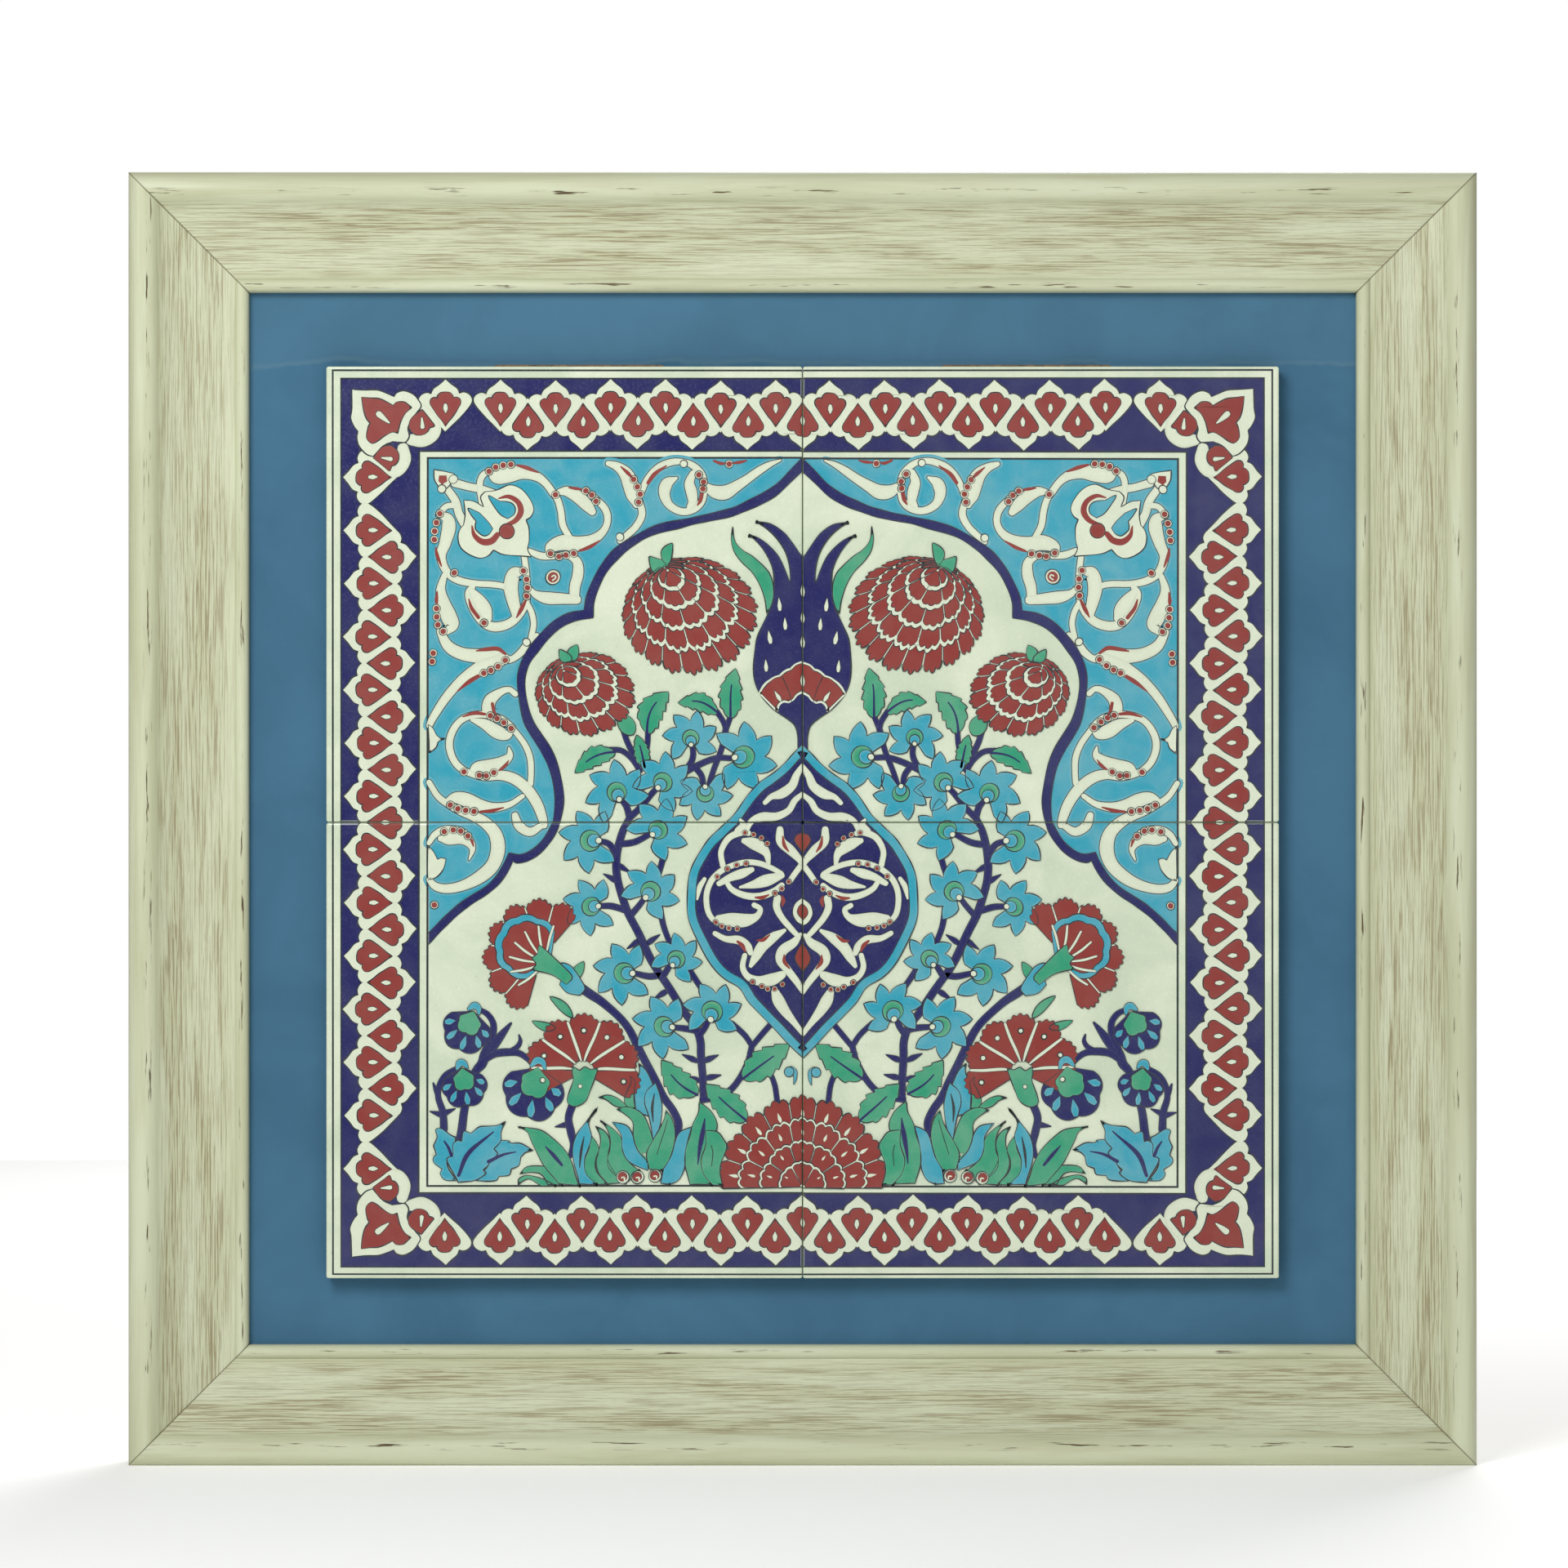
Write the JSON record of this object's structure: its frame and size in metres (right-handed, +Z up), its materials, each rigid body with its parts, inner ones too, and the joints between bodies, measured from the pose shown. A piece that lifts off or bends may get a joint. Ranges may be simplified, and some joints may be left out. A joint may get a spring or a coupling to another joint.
{
  "type": "framed tile panel",
  "caption": "Painted ceramic tile picture in a mitred, limed wood frame with a blue card margin, backed by a board held by turn buttons and hung by swinging D-rings.",
  "frame": {"origin": "middle of the frame's outline, in the plane of the wall that it hangs on", "axes": "+Z up as it hangs, +X to the right as seen from the front, -Y out of the wall towards the room"},
  "size_m": [0.5796, 0.032, 0.5554],
  "materials": {
    "limed_wood": "satin",
    "glazed_tile": "gloss",
    "adhesive": "satin",
    "card": "matte",
    "fibreboard": "matte",
    "steel": "satin",
    "zinc_plate": "satin",
    "screw_steel": "satin",
    "felt": "matte"
  },
  "bodies": {
    "frame": {"rail_top": "limed_wood", "rail_right": "limed_wood", "rail_bottom": "limed_wood", "rail_left": "limed_wood", "tile_top_left": "glazed_tile", "tile_top_right": "glazed_tile", "tile_bottom_left": "glazed_tile", "tile_bottom_right": "glazed_tile", "adhesive_top_left": "adhesive", "adhesive_top_right": "adhesive", "adhesive_bottom_left": "adhesive", "adhesive_bottom_right": "adhesive", "blue_card": "card", "backing_board": "fibreboard", "corner_wedge_top_left_outer": "steel", "corner_wedge_top_left_inner": "steel", "corner_wedge_top_right_outer": "steel", "corner_wedge_top_right_inner": "steel", "corner_wedge_bottom_left_outer": "steel", "corner_wedge_bottom_left_inner": "steel", "corner_wedge_bottom_right_outer": "steel", "corner_wedge_bottom_right_inner": "steel", "hanger_strap_left": "zinc_plate", "hanger_strap_right": "zinc_plate", "turn_button_screw_top": "screw_steel", "turn_button_screw_right": "screw_steel", "turn_button_screw_bottom": "screw_steel", "turn_button_screw_left": "screw_steel", "hanger_screw_left_upper": "screw_steel", "hanger_screw_left_lower": "screw_steel", "hanger_screw_right_upper": "screw_steel", "hanger_screw_right_lower": "screw_steel", "bumper_left": "felt", "bumper_right": "felt"},
    "turn_button_top": {"turn_button_top": "zinc_plate"},
    "turn_button_right": {"turn_button_right": "zinc_plate"},
    "turn_button_bottom": {"turn_button_bottom": "zinc_plate"},
    "turn_button_left": {"turn_button_left": "zinc_plate"},
    "hanger_ring_left": {"hanger_ring_left": "zinc_plate"},
    "hanger_ring_right": {"hanger_ring_right": "zinc_plate"}
  },
  "joints": [
    {"name": "turn_button_top_turn", "type": "hinge", "parent": "frame", "child": "turn_button_top", "pos_m": [0, -0.0041, 0.24275], "axis": [0, 1, 0], "continuous": true},
    {"name": "turn_button_right_turn", "type": "hinge", "parent": "frame", "child": "turn_button_right", "pos_m": [0.2548, -0.0041, 0], "axis": [0, 1, 0], "continuous": true},
    {"name": "turn_button_bottom_turn", "type": "hinge", "parent": "frame", "child": "turn_button_bottom", "pos_m": [0, -0.0041, -0.24275], "axis": [0, 1, 0], "continuous": true},
    {"name": "turn_button_left_turn", "type": "hinge", "parent": "frame", "child": "turn_button_left", "pos_m": [-0.2548, -0.0041, 0], "axis": [0, 1, 0], "continuous": true},
    {"name": "hanger_ring_left_swing", "type": "hinge", "parent": "frame", "child": "hanger_ring_left", "pos_m": [-0.2698, -0.0024, 0.165], "axis": [1, 0, 0], "range_deg": [0, 175]},
    {"name": "hanger_ring_right_swing", "type": "hinge", "parent": "frame", "child": "hanger_ring_right", "pos_m": [0.2698, -0.0024, 0.165], "axis": [1, 0, 0], "range_deg": [0, 175]}
  ]
}
